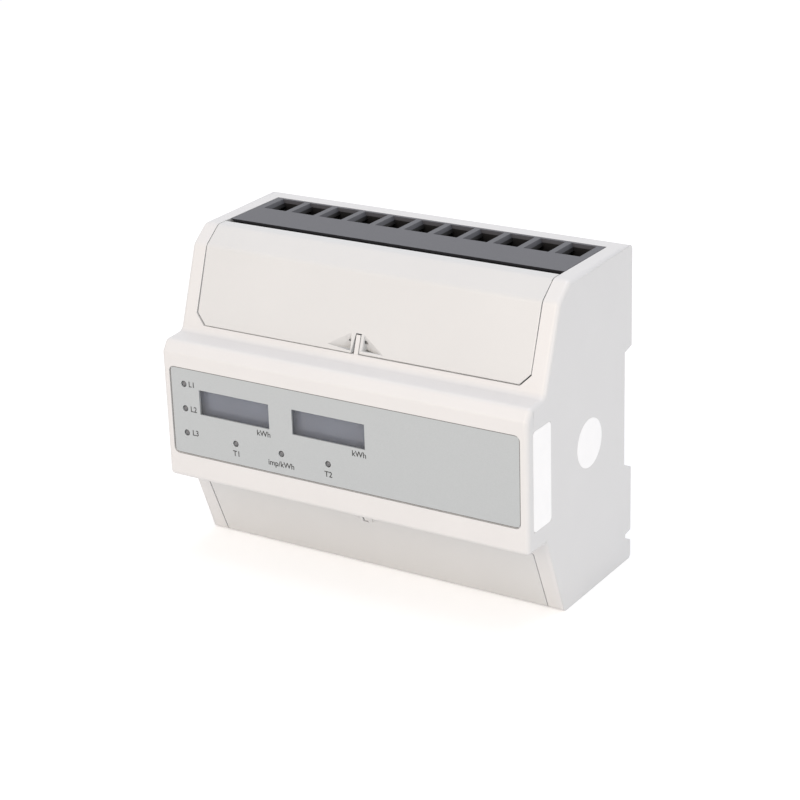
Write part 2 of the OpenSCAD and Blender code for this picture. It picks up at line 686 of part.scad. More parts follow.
// Pin header between the two boards
module link_pins() color("gold") for (i = [0 : link_n - 1]) {
  x = link_x + (i - (link_n - 1) / 2) * link_step;
  span([x - 0.32, x + 0.32], [display_back, main_front - 2], [link_z - 0.32, link_z + 0.32]);
}
module link_socket() color("black") difference() {
  span([link_x - link_n * link_step / 2, link_x + link_n * link_step / 2], [link_split, main_front],
    [link_z - 1.25, link_z + 1.25]);
  for (i = [0 : link_n - 1]) {
    x = link_x + (i - (link_n - 1) / 2) * link_step;
    span([x - 0.42, x + 0.42], [link_split - 1, main_front - 1.5], [link_z - 0.42, link_z + 0.42]);
  }
}

// Parts on the front side of the main board
module on_board(p, w, h, t) span([p[0] - w / 2, p[0] + w / 2], [main_front - t, main_front],
  [p[1] - h / 2, p[1] + h / 2]);
module metering_chip() color("black") {
  on_board(chip_at, chip_w, chip_w, chip_t);
  for (a = [0 : 90 : 270], i = [-5 : 5]) translate([chip_at[0], 0, chip_at[1]])
    rotate([0, a, 0]) span([i * 0.8 - 0.18, i * 0.8 + 0.18],
      [main_front - 0.7, main_front], [chip_w / 2 - 0.1, chip_w / 2 + 1.2]);
}
module crystal() color("silver") on_board(crystal_at, 4.6, 11, 3.5);
module supply_capacitors() color("midnightblue") for (x = cap_x)
  difference() {
    rod_y(x, cap_z, main_front - cap_l, main_front, cap_r);
    translate([x, main_front - 1.8, cap_z]) rotate([-90, 0, 0]) difference() {
      cylinder(h = 0.6, r = cap_r + 1);
      translate([0, 0, -1]) cylinder(h = 3, r = cap_r - 0.35);
    }
    for (a = [0, 90]) translate([x, main_front - cap_l, cap_z]) rotate([0, a, 0])
      cube([cap_r * 1.3, 0.4, 0.3], center = true);
  }
module dropper_capacitors() color("gold") for (x = tap_x)
  on_board([x + film_x, film_z], 7.5, 11.5, 9);
module varistors() color("royalblue") for (x = tap_x) {
  rod_y(x + varistor_x, film_z, main_front - 5, main_front - 1, varistor_r);
  for (s = [-1, 1]) translate([x + varistor_x + s * varistor_r * 0.55, 0, film_z - 1])
    span([-0.3, 0.3], [main_front - 2, main_front], [-0.3, 0.3]);
}
module optocouplers() color("black") for (x = opto_x) on_board([x, opto_z], 6.5, 5, 3.4);
module voltage_regulator() color("black") difference() {
  union() {
    on_board(regulator_at, 10, 9, 4.4);
    on_board(regulator_at + [0, 6.5], 10, 6, 1.3);
  }
  rod_y(regulator_at[0], regulator_at[1] + 7, main_front - 3, main_front - eps, 1.7);
}

// Current transformer, bar through its hole and its foot on the main board
module current_transformers() color("cornflowerblue") for (x = tap_x) difference() {
  union() {
    rod_x(ct_y, ct_z, x - ct_w / 2, x + ct_w / 2, ct_r);
    span([x - ct_w / 2, x + ct_w / 2], [main_back, ct_y], [ct_z - 6, ct_z + 6]);
  }
  rod_x(ct_y, ct_z, x - ct_w, x + ct_w, ct_hole_r);
}

// Bar from a clamp down through the block, forward over the transformer
module bar_leg(x, w, t, y_end) {
  span([x - w / 2, x + w / 2], [bar_y0, bar_y1], [run_z0, clamp_z1 - 0.8]);
  span([x - w / 2, x + w / 2], [y_end, bar_y1], [run_z1 - t, run_z1]);
}
// Two legs and the cross bar that joins them
module bar_loop(x0, x1) {
  for (x = [x0, x1]) {
    bar_leg(x, bar_w, bar_t, ct_y - bar_t / 2);
    span([x - bar_w / 2, x + bar_w / 2], [ct_y - bar_t / 2, ct_y + bar_t / 2],
      [ct_z - cross_h / 2, run_z1]);
  }
  span([x0 - bar_w / 2, x1 + bar_w / 2], [ct_y - bar_t / 2, ct_y + bar_t / 2],
    [ct_z - cross_h / 2, ct_z + cross_h / 2]);
}
module phase_bars() color("peru") for (i = phases) bar_loop(entry_x[i - 1], entry_x[i + 1]);
module neutral_bar() color("peru") bar_loop(entry_x[entries - 2], entry_x[entries - 1]);
module voltage_taps() color("peru") for (x = tap_x) bar_leg(x, 3, 1, main_back);

// Front of a block from its undercut edge at z0 to the plane z1 beside the nose
module block_front_cut(z0, z1) {
  s = sign(z1 - z0);
  along_x(-side_x, side_x) polygon([[block_front - 1, z0], [block_front, z0],
    [block_front + block_lip, z0 + s * block_lip], [block_front + block_lip, z1], [block_front - 1, z1]]);
}
module upper_terminal_block() color("dimgray") difference() {
  union() {
    span([-block_x, block_x], [block_front, block_back], [nose_z1 + 0.1, case_h]);
    span([-block_x, block_x], [block_front, block_rear], [nose_z1 + 0.1, case_h - strip_h - fit]);
  }
  along_x(-side_x, side_x) polygon(plate(base_line, base_t + fit));
  block_front_cut(case_h, shelf_z1 + fit);
  for (x = entry_x) {
    along_y(mouth_y0, mouth_y1) polygon([[x - mouth_w / 2, case_h + 1], [x - mouth_w / 2, case_h],
      [x - mouth_w / 2 + neck, case_h - mouth_h], [x + mouth_w / 2 - neck, case_h - mouth_h],
      [x + mouth_w / 2, case_h], [x + mouth_w / 2, case_h + 1]]);
    span([x - mouth_w / 2, x + mouth_w / 2], [mouth_y0, mouth_y1], [clamp_z1 - 1, case_h - mouth_h]);
    span([x - clamp_w / 2 - 0.1, x + clamp_w / 2 + 0.1], [clamp_y0 - 0.1, clamp_y1 + 0.1],
      [clamp_z0 - 0.1, clamp_z1 + 0.1]);
    rod_y(x, clamp_z, block_front - 1, clamp_y0, driver_r);
    span([x - bar_w / 2 - 0.2, x + bar_w / 2 + 0.2], [bar_y0 - 0.2, bar_y1 + 0.1],
      [nose_z1, clamp_z0]);
  }
}
module main_clamps() color("goldenrod") for (x = entry_x) difference() {
  span([x - clamp_w / 2, x + clamp_w / 2], [clamp_y0, clamp_y1], [clamp_z0, clamp_z1]);
  span([x - clamp_w / 2 + clamp_t, x + clamp_w / 2 - clamp_t],
    [clamp_y0 + thread_t, clamp_y1 - clamp_t], [clamp_z0 - 1, clamp_z1 + 1]);
  rod_y(x, clamp_z, clamp_y0 - 1, clamp_y0 + thread_t + 1, screw_r + 0.05);
}
module main_clamp_screws() color("silver") for (x = entry_x)
  clamp_screw(x, clamp_z, clamp_y0 - 0.6, thread_t + 0.6, screw_r, head_r, head_h);
// Slotted screw along Y, seen from the front; y is the plane under its head
module clamp_screw(x, z, y, l, r, hr, hh) difference() {
  union() {
    rod_y(x, z, y - hh, y, hr);
    rod_y(x, z, y - hh, y + l, r);
  }
  translate([x, y - hh, z]) cube([2 * hr + 1, hh * 0.7, 1.1], center = true);
  translate([x, y - hh, z]) cube([1.1, hh * 0.7, hr * 1.3], center = true);
}

module lower_terminal_block() color("dimgray") difference() {
  union() {
    span([-block_x, block_x], [block_front, block_back], [0, nose_z0 - 0.1]);
    span([-block_x, block_x], [block_front, block_rear], [strip_h + fit, nose_z0 - 0.1]);
  }
  along_x(-side_x, side_x) polygon(plate(base_line, base_t + fit));
  block_front_cut(0, shelf_z0 - fit);
  both_sides() span([0, side_x], [back_y - groove_d - base_t - fit, back_y],
    [base_z0 - 1, groove_z1 + base_t + fit]);
  span([-channel_x - base_t - fit, channel_x + base_t + fit],
    [seat_y - base_t - fit, back_y], [-1, nose_z0 + 1]);
  for (x = aux_x) {
    span([x - aux_w / 2, x + aux_w / 2], [aux_y0, aux_y1], [-1, aux_h + aux_w + 2.1]);
    rod_y(x, aux_clamp_z, block_front - 1, aux_y0 + 1, aux_driver_r);
    span([x - 0.6, x + 0.6], [aux_y0 - 0.2, aux_y0 + 1], [aux_clamp_z, nose_z0]);
  }
}
// Small clamp with the pin that goes up to the main board
module aux_clamps() color("goldenrod") for (x = aux_x) {
  a = aux_w - 0.2;
  difference() {
    span([x - a / 2, x + a / 2], [aux_y0 + 0.1, aux_y0 + 0.1 + a],
      [aux_clamp_z - a / 2, aux_clamp_z + a / 2]);
    span([x - a / 2 + 0.5, x + a / 2 - 0.5], [aux_y0 + 1, aux_y0 + a - 0.4],
      [0, aux_clamp_z + a]);
    rod_y(x, aux_clamp_z, aux_y0 - 1, aux_y0 + 1.5, aux_screw_r + 0.05);
  }
  span([x - 0.4, x + 0.4], [aux_y0 + 0.1, aux_y0 + 0.8], [aux_clamp_z + 2, nose_z0 + 2.5]);
  span([x - 0.4, x + 0.4], [main_back, aux_y0 + 0.8], [nose_z0 + 1.8, nose_z0 + 2.5]);
}
module aux_clamp_screws() color("silver") for (x = aux_x)
  clamp_screw(x, aux_clamp_z, aux_y0 - 0.3, 1.2, aux_screw_r, aux_driver_r - 0.3, 2);

// Cover with hinge pins at its rear edge and a slot for the sealing lug at the other;
// r rounds the line's corners, z_axis is the hinge's height, s is 1 above and -1 below the nose
module terminal_cover(line, r, z_axis, foot, lean, s) {
  n = len(line) - 1;
  edge = line[n];
  up = unit(line[n - 1] - edge);
  in = s > 0 ? [-left(up)[0], -left(up)[1]] : left(up);
  difference() {
    union() {
      intersection() {
        union() {
          along_x(-cover_x, cover_x) polygon(plate(line, s * cover_t, r));
          along_x(-pocket_x - 1.5, pocket_x + 1.5) polygon([edge, edge + up * (slot_l + 1.4),
            edge + up * (slot_l + 1.4) + in * pad_t, edge + in * pad_t]);
        }
        along_y(front_y, back_y) cover_outline(edge[1], s > 0 ? case_h + 1 : -1);
      }
      both_sides() {
        rod_x(axis_y, z_axis, cover_x - 5, cover_x, 1.9);
        rod_x(axis_y, z_axis, cover_x - 5, bay_x + pin_l - 0.2, pin_r);
      }
    }
    along_x(-slot_w / 2, slot_w / 2) polygon([edge - up - in, edge + up * slot_l - in,
      edge + up * slot_l + in * (pad_t + 1), edge - up + in * (pad_t + 1)]);
    both_sides() sealing_pocket(edge, up, in);
    sealing_hole(foot, lean, s);
  }
}
module cover_outline(edge, far) {
  s = sign(far - edge);
  polygon([[-cover_x, far], [-cover_x, edge + s * corner], [-cover_x + corner, edge],
    [cover_x - corner, edge], [cover_x, edge + s * corner], [cover_x, far]]);
}
// Three-sided pocket beside the slot, deepest at the wall that carries the wire hole
module sealing_pocket(edge, up, in) {
  x0 = slot_w / 2 + rim;
  a = edge + up * rim;
  b = edge + up * slot_l;
  out = -in * 0.3;
  deep = a + in * pocket_d;
  grow = (pocket_x - x0) * 0.3 / pocket_d;
  polyhedron(
    points = [[x0, (a + out)[0], (a + out)[1]], [pocket_x + grow, (a + out)[0], (a + out)[1]],
      [x0, (b + out + up * 0.4)[0], (b + out + up * 0.4)[1]], [x0, deep[0], deep[1]]],
    faces = up[1] > 0 ? [[0, 2, 1], [0, 1, 3], [1, 2, 3], [0, 3, 2]]
      : [[0, 1, 2], [0, 3, 1], [1, 3, 2], [0, 2, 3]]);
}
module upper_terminal_cover() color("whitesmoke")
  terminal_cover(upper_line, crown_r, case_h - axis_down, [foot_y, nose_z1], upper_lean, 1);
module lower_terminal_cover() color("whitesmoke")
  terminal_cover(lower_line, edge_r, axis_down, [foot_y, nose_z0], lower_lean, -1);

// Clip that slides down in the rear housing's channel and springs back up
module rail_clip() color("dimgray") difference() {
  union() {
    span([-clip_w / 2, clip_w / 2], [clip_y0, clip_y1], [clip_z0, rail_z0 - 1.2]);
    span([-clip_x, clip_x], [clip_y0, clip_y0 + flange_t], [clip_z0 + 8, rail_z0 - 1.2]);
    along_x(-clip_w / 2, clip_w / 2) polygon([[hook_y, rail_z0 - 2], [hook_y, clip_top],
      [hook_y + 0.8, clip_top], [clip_y1, clip_top - 2.2], [clip_y1, rail_z0 - 2]]);
  }
  span([-spring_d / 2 - 0.5, spring_d / 2 + 0.5], [clip_y0 - 1, clip_y1 + 1],
    [peg_z - 3 - clip_gap - 0.3, peg_z + spring_l]);
  span([-4, 4], [clip_y0 - 1, clip_y1 + 1], [clip_z0 + 2.2, clip_z0 + 4]);
}

// Points of one ring of the spring's wire, at angle a and height z
function spring_ring(a, z) = [for (k = [0 : 60 : 300])
  let (r = spring_d / 2 - spring_wire / 2 + spring_wire / 2 * cos(k))
  [r * cos(a), spring_y + r * sin(a), z + spring_wire / 2 * sin(k)]];
module clip_spring() {
  steps = 12;
  n = spring_turns * steps;
  rise = (spring_l - spring_wire - 0.1) / n;
  rings = [for (i = [0 : n])
    spring_ring(i * 360 / steps, peg_z + 0.05 + spring_wire / 2 + i * rise)];
  color("silver") polyhedron(
    points = [for (r = rings) each r],
    faces = concat([[for (k = [0 : 5]) k]], [[for (k = [5 : -1 : 0]) n * 6 + k]],
      [for (i = [0 : n - 1], k = [0 : 5])
        [i * 6 + k, (i + 1) * 6 + k, (i + 1) * 6 + (k + 1) % 6, i * 6 + (k + 1) % 6]]));
}

// Screws from the rear that hold the two housings together
module housing_screws() color("silver") for (x = [-1, 1], z = case_boss_z) difference() {
  union() {
    rod_y(x * case_boss_x, z, case_boss_y + 2, case_boss_y + 3.8, 2.3);
    rod_y(x * case_boss_x, z, case_boss_y - 10, case_boss_y + 3, 1.2);
  }
  for (a = [0, 90]) translate([x * case_boss_x, case_boss_y + 3.8, z]) rotate([0, a, 0])
    cube([2.8, 1.6, 0.6], center = true);
}

module side_sticker() color("white") span([side_x - sticker_in, side_x - sticker_in + sticker_t],
  side_label_y + [0.02, -0.02], side_label_z + [0.02, -0.02]);
module round_sticker() color("white")
  rod_x(round_label_y, sticker_z, side_x - sticker_in, side_x - sticker_in + sticker_t,
    round_label_d / 2);

front_housing();
rear_housing();
front_label();
lens_left();
lens_right();
lcd_glass_left();
lcd_glass_right();
lcd_frame_left();
lcd_frame_right();
zebra_strips();
indicator_leds();
pulse_led();
display_board();
main_board();
link_pins();
link_socket();
metering_chip();
crystal();
supply_capacitors();
dropper_capacitors();
varistors();
optocouplers();
voltage_regulator();
current_transformers();
phase_bars();
neutral_bar();
voltage_taps();
upper_terminal_block();
main_clamps();
main_clamp_screws();
lower_terminal_block();
aux_clamps();
aux_clamp_screws();
upper_terminal_cover();
lower_terminal_cover();
rail_clip();
clip_spring();
housing_screws();
main_board_screws();
display_board_screws();
side_sticker();
round_sticker();
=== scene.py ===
# %% [markdown]
# # Electricity meter for a 35 mm rail
#
# A seven-module meter: a stepped white case with a nose that carries two displays, two hinged terminal
# covers, a dark terminal block above and another below, and a sliding clip at the back. The construction
# comes in as a fixed frame of nodes, each in its real place. This notebook gives every one of them its
# surface, and builds again the pieces whose edges and printing the plain construction leaves out.

# %% Load the frame
import json
import math

import bpy
from mathutils import Matrix, Vector


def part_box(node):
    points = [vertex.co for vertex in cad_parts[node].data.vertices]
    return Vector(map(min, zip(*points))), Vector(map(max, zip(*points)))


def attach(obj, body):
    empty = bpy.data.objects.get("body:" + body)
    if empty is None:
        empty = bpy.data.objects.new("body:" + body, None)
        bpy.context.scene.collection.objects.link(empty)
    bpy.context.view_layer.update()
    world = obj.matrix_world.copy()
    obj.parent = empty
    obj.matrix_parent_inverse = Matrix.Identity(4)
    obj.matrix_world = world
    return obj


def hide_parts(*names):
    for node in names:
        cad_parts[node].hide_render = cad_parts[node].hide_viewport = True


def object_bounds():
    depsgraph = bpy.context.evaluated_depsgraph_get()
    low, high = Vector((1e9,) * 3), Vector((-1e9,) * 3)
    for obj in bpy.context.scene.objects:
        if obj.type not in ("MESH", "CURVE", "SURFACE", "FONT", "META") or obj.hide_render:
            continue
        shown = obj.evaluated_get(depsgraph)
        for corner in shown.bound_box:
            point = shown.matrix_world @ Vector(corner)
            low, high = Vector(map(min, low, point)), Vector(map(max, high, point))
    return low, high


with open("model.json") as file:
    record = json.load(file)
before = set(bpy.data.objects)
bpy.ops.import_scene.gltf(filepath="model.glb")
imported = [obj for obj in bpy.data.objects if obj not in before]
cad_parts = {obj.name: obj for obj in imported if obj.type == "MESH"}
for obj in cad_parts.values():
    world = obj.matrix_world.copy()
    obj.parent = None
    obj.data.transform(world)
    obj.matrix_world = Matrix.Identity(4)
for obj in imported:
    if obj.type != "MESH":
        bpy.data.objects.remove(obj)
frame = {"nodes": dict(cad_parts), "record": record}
cad_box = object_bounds()
MM = 0.001

# %% [markdown]
# ## Helpers for selecting and shaping
#
# Operators act on everything that is selected, and loading leaves the nodes selected. So each piece starts
# from a cleared selection. In edit mode, faces and edges are picked by a test on their place or their
# normal, which is what a hand would do with a box select, but it keeps working when a size changes.

# %% Selection
SMOOTH_UP_TO = math.radians(30)


def only(piece):
    """Make one object the selected and active one."""
    bpy.ops.object.select_all(action="DESELECT")
    piece.select_set(True)
    bpy.context.view_layer.objects.active = piece


def pick(piece, kind, test):
    """In edit mode, select the piece's vertices, edges or faces that pass a test, and count them."""
    bpy.ops.mesh.select_mode(type={"vertices": "VERT", "edges": "EDGE", "polygons": "FACE"}[kind])
    bpy.ops.mesh.select_all(action="DESELECT")
    bpy.ops.object.mode_set(mode="OBJECT")
    found = [part for part in getattr(piece.data, kind) if test(part)]
    for part in found:
        part.select = True
    bpy.ops.object.mode_set(mode="EDIT")
    return len(found)


def finish_piece(piece, body):
    """Bake the place into the mesh, shade the shallow edges smooth, and hang the piece on its body."""
    only(piece)
    bpy.ops.object.transform_apply(location=True, rotation=True, scale=True)
    bpy.ops.object.shade_smooth_by_angle(angle=SMOOTH_UP_TO)
    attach(piece, body)


print("selected after loading:", len(bpy.context.selected_objects), "objects")

# %% [markdown]
# A node arrives as loose triangles. To shape one again, its mesh is copied, the doubled corners are merged
# and the flat triangles are dissolved into whole faces, so that each edge left is a real edge of the part.

# %% Copy of a node, ready to be shaped
body_of = {node: body for body, nodes in frame["record"]["behaviour"]["bodies"].items() for node in nodes}
slot_of = {part["node"]: part["material_slot"] for part in frame["record"]["subparts"]}
MERGE = 0.002 * MM
FLAT_WITHIN = math.radians(0.6)


def shaped_copy(node, name):
    """Start a new piece from a node's own mesh, merged and with whole flat faces, in edit mode."""
    piece = bpy.data.objects.new(name, frame["nodes"][node].data.copy())
    bpy.context.scene.collection.objects.link(piece)
    piece.data.materials.clear()
    only(piece)
    bpy.ops.object.mode_set(mode="EDIT")
    bpy.ops.mesh.customdata_custom_splitnormals_clear()
    bpy.ops.mesh.select_all(action="SELECT")
    bpy.ops.mesh.remove_doubles(threshold=MERGE)
    bpy.ops.mesh.dissolve_limited(angle_limit=FLAT_WITHIN)
    bpy.ops.mesh.select_all(action="DESELECT")
    return piece


def stand_for(piece, node):
    """Finish a piece that stands for a node."""
    finish_piece(piece, body_of[node])
    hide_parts(node)
    print(f"{piece.name}: {len(piece.data.polygons)} faces stand for {node}")


print(len(body_of), "nodes with", len(set(slot_of.values())), "kinds of finish")

# %% [markdown]
# ## Camera
#
# A long lens from the right, a little above: the case shows its front, its top and its right side. The
# angles turn the camera round the case, and a small roll tilts it as a hand-held shot is.

# %% Camera
SENSOR = 36.0
LENS = 101.066
AZIMUTH, ELEVATION, ROLL = (math.radians(angle) for angle in (32.79, 21.37, -1.891))
STAND = Vector((341.31, -527.34, 296.67)) * MM
NEAREST, FARTHEST = 0.01, 50

back = Vector((math.sin(AZIMUTH) * math.cos(ELEVATION), -math.cos(AZIMUTH) * math.cos(ELEVATION),
               math.sin(ELEVATION)))
right = Vector((math.cos(AZIMUTH), math.sin(AZIMUTH), 0))
turn = Matrix((right, back.cross(right), back)).transposed() @ Matrix.Rotation(ROLL, 3, "Z")

bpy.ops.object.camera_add(location=STAND, rotation=turn.to_euler())
camera = bpy.context.object
camera.data.sensor_width = SENSOR
camera.data.lens = LENS
camera.data.clip_start = NEAREST
camera.data.clip_end = FARTHEST
bpy.context.scene.camera = camera
print("camera", [round(c, 3) for c in camera.location])

# %% [markdown]
# ## Colours and shader nodes
#
# Colours are written as they look on a screen, in hex, and one function turns them into the linear values
# that light is worked out with, along the standard curve of screen colours. One more function adds a shader
# node with its settings and links. It names an input by its label, or by its number where several share a
# label: a Mix node has inputs 6 and 7 and output 2 for colours.

# %% Colour and node helpers
def linear(code):
    """Turn a screen colour such as #e8e4e0 into linear red, green, blue and alpha."""
    shares = [int(code[i:i + 2], 16) / 255 for i in (1, 3, 5)]
    return (*(c / 12.92 if c <= 0.04045 else ((c + 0.055) / 1.055) ** 2.4 for c in shares), 1.0)


def add_node(tree, kind, inputs=None, **settings):
    """Add a node, change its settings, and fill its inputs with values or with other nodes' outputs."""
    made = tree.nodes.new(kind)
    for name, value in settings.items():
        setattr(made, name, value)
    for socket, value in (inputs or {}).items():
        if isinstance(value, bpy.types.NodeSocket):
            tree.links.new(value, made.inputs[socket])
        else:
            made.inputs[socket].default_value = value
    return made


print("screen grey #808080 is", round(linear("#808080")[0], 3), "in linear light")

# %% [markdown]
# ## Stage and light
#
# The meter stands on a wide pale floor in a white studio. The world gives an even, soft light, which alone
# would leave the steps of the case flat. Camera, mirror and glass rays see pure white around the meter, so
# the background stays clean without any more light falling on the case. The Light Path node tells those
# rays apart from the rays that carry light, for the world here and for the floor below.

# %% World
AMBIENT = 0.70


def seen_directly(tree):
    """Give 1 for camera, mirror and glass rays, and 0 for the rays that light other surfaces."""
    path = add_node(tree, "ShaderNodeLightPath")
    mirror = add_node(tree, "ShaderNodeMath",
                      {0: path.outputs["Is Camera Ray"], 1: path.outputs["Is Glossy Ray"]},
                      operation="MAXIMUM")
    glass = add_node(tree, "ShaderNodeMath",
                     {0: mirror.outputs[0], 1: path.outputs["Is Transmission Ray"]},
                     operation="MAXIMUM")
    return glass.outputs[0]


world = bpy.data.worlds.new("white_studio")
bpy.context.scene.world = world
world.use_nodes = True
tree = world.node_tree
tree.nodes.clear()
level = add_node(tree, "ShaderNodeMapRange",
                 {"Value": seen_directly(tree), "To Min": AMBIENT, "To Max": 1.0})
sky = add_node(tree, "ShaderNodeBackground",
               {"Color": linear("#ffffff"), "Strength": level.outputs["Result"]})
add_node(tree, "ShaderNodeOutputWorld", {"Surface": sky.outputs[0]})
print("the world lights with", AMBIENT, "and looks white")

# %% [markdown]
# Three softboxes shape the case. The warm key hangs in front, a little above, and lifts the front faces and
# the slopes. A small white one far to the right draws a light line along the rounded edges on that side. A
# cool one above lifts the top, and keeps it apart in tone from the front. A large lamp close by gives the
# soft-edged shadows that matt plastic shows best.

# %% Softboxes
SOFTBOXES = (
    ("key_softbox", (-0.05, -1.15, 0.60), 0.9, 6.9, "#ffecdc"),
    ("rim_softbox", (1.05, -0.62, 0.16), 0.30, 1.8, "#ffffff"),
    ("top_softbox", (0.1, 0.25, 1.3), 0.9, 4.7, "#eaeeff"),
)
middle = (cad_box[0] + cad_box[1]) / 2


def softbox(name, place, side, watts, colour):
    """Hang a square softbox at a place and point it at the middle of the meter."""
    bpy.ops.object.light_add(type="AREA", location=place)
    lamp = bpy.context.object
    lamp.name = name
    lamp.rotation_euler = (middle - Vector(place)).to_track_quat("-Z", "Y").to_euler()
    lamp.data.size = side
    lamp.data.energy = watts
    lamp.data.color = linear(colour)[:3]
    print(f"{name}: {watts} W, {side} m wide, {(middle - Vector(place)).length:.2f} m away")


for settings in SOFTBOXES:
    softbox(*settings)
bpy.context.scene.view_settings.view_transform = "Standard"

# %% [markdown]
# The floor is a sheet of matt white paper, wide enough that its far edge falls into the white of the world.
# Its shader is plain and diffuse, with a faint change of tone from the fibres, drawn about a millimetre
# across. Where it is seen directly it also glows a little, which lets it run into the background.

# %% Floor
FLOOR_SIDE = 12.0
FIBRES_PER_METRE = 900.0
GLOW = 0.28
bpy.ops.mesh.primitive_plane_add(size=FLOOR_SIDE, location=(0, 0, cad_box[0].z))
floor = bpy.context.object
floor.name = "floor"
material = bpy.data.materials.new("matt_white_paper")
material.use_nodes = True
tree = material.node_tree
tree.nodes.clear()
seen = seen_directly(tree)
where = add_node(tree, "ShaderNodeTexCoord").outputs["Object"]
fibre = add_node(tree, "ShaderNodeTexNoise", {"Vector": where, "Scale": FIBRES_PER_METRE, "Detail": 3.0})
tone = add_node(tree, "ShaderNodeMix",
                {"Factor": fibre.outputs["Fac"], 6: linear("#ececec"), 7: linear("#f2f2f2")},
                data_type="RGBA")
paper = add_node(tree, "ShaderNodeBsdfDiffuse", {"Color": tone.outputs[2]})
glow = add_node(tree, "ShaderNodeEmission", {"Color": linear("#ffffff"), "Strength": GLOW})
lift = add_node(tree, "ShaderNodeAddShader", {0: paper.outputs[0], 1: glow.outputs[0]})
shown = add_node(tree, "ShaderNodeMixShader", {0: seen, 1: paper.outputs[0], 2: lift.outputs[0]})
add_node(tree, "ShaderNodeOutputMaterial", {"Surface": shown.outputs[0]})
floor.data.materials.append(material)
print("floor", FLOOR_SIDE, "m wide at height", round(cad_box[0].z, 4))

# %% [markdown]
# ## Materials
#
# Each finish starts from the real material and how its surface was made. A Principled shader carries what is
# the same everywhere, and patterns measured in millimetres on Object coordinates carry what varies. Object
# coordinates are metres from the frame's own zero, so a pattern keeps its real size on every piece.

# %% Base of every finish
def finish_of(name, colour, roughness, **same):
    """Start a material with one colour and the shader's own values, and return what the pattern needs."""
    made = bpy.data.materials.new(name)
    made.use_nodes = True
    tree = made.node_tree
    tree.nodes.clear()
    surface = add_node(tree, "ShaderNodeBsdfPrincipled",
                       {"Base Color": linear(colour), "Roughness": roughness})
    for socket, value in same.items():
        surface.inputs[socket.replace("_", " ")].default_value = value
    add_node(tree, "ShaderNodeOutputMaterial", {"Surface": surface.outputs[0]})
    where = add_node(tree, "ShaderNodeTexCoord").outputs["Object"]
    return made, tree, surface, where


def per_mm(size):
    """Scale of a texture whose features are this many millimetres across."""
    return 1 / (size * MM)


def vary(tree, surface, factor, darker, lighter, socket="Base Color"):
    """Let a factor choose between two colours, or two values of another socket."""
    if socket == "Base Color":
        tone = add_node(tree, "ShaderNodeMix", {"Factor": factor, 6: linear(darker), 7: linear(lighter)},
                        data_type="RGBA")
        tree.links.new(tone.outputs[2], surface.inputs[socket])
    else:
        tone = add_node(tree, "ShaderNodeMapRange", {"Value": factor, "To Min": darker, "To Max": lighter})
        tree.links.new(tone.outputs["Result"], surface.inputs[socket])


def raise_by(tree, surface, height, depth):
    """Turn a height from 0 to 1 into a bump that is this many millimetres deep."""
    bump = add_node(tree, "ShaderNodeBump", {"Height": height, "Distance": depth * MM})
    tree.links.new(bump.outputs[0], surface.inputs["Normal"])


print("a grain of 0.3 mm has scale", round(per_mm(0.3)))

# %% [markdown]
# **Moulded polycarbonate.** The case is self-extinguishing polycarbonate, injection moulded in a tool whose
# walls were spark-eroded. That leaves a matt skin of tiny rounded pits, about 0.05 mm in the real tool, and
# drawn at 0.3 mm so that it shows at all. Flow in the mould gives faint broad patches. The covers come from
# a smoother insert, so they are a little glossier. The other mouldings are made the same way: the clip's
# polyamide is near black and dull, the display frames' polyester is a softer white than the case, the
# transformer's shell is a satin blue, and the chips' epoxy is matt black with a fine filler in it.

# %% Moulded polycarbonate
ROUGHNESS_SPREAD = 0.05


def moulded_plastic(name, darker, lighter, roughness, grain, depth, patch=22.0):
    """Injection-moulded plastic: broad faint patches, and a skin of fine pits."""
    made, tree, surface, where = finish_of(name, lighter, roughness, IOR=1.55)
    flow = add_node(tree, "ShaderNodeTexNoise", {"Vector": where, "Scale": per_mm(patch), "Detail": 2.0})
    vary(tree, surface, flow.outputs["Fac"], darker, lighter)
    pits = add_node(tree, "ShaderNodeTexNoise", {"Vector": where, "Scale": per_mm(grain), "Detail": 2.0})
    vary(tree, surface, pits.outputs["Fac"], roughness - ROUGHNESS_SPREAD, roughness + ROUGHNESS_SPREAD,
         "Roughness")
    raise_by(tree, surface, pits.outputs["Fac"], depth)
    return made


spark_eroded_case = moulded_plastic("spark_eroded_polycarbonate", "#d6d6d6", "#dbdbdb", 0.36, 0.3, 0.010)
smooth_cover = moulded_plastic("smooth_polycarbonate", "#cfd0d0", "#d4d5d5", 0.30, 0.45, 0.006)
black_polyamide = moulded_plastic("black_polyamide", "#242426", "#2c2c2f", 0.45, 0.35, 0.010, 8.0)
white_frame_plastic = moulded_plastic("white_pbt", "#dcdcda", "#e6e6e4", 0.42, 0.3, 0.008)
transformer_plastic = moulded_plastic("blue_polycarbonate", "#23466f", "#2a5283", 0.40, 0.3, 0.008)
chip_epoxy = moulded_plastic("moulded_black_epoxy", "#17171a", "#1f1f22", 0.55, 0.2, 0.010, 3.0)
print("case and covers:", spark_eroded_case.name, "and", smooth_cover.name)
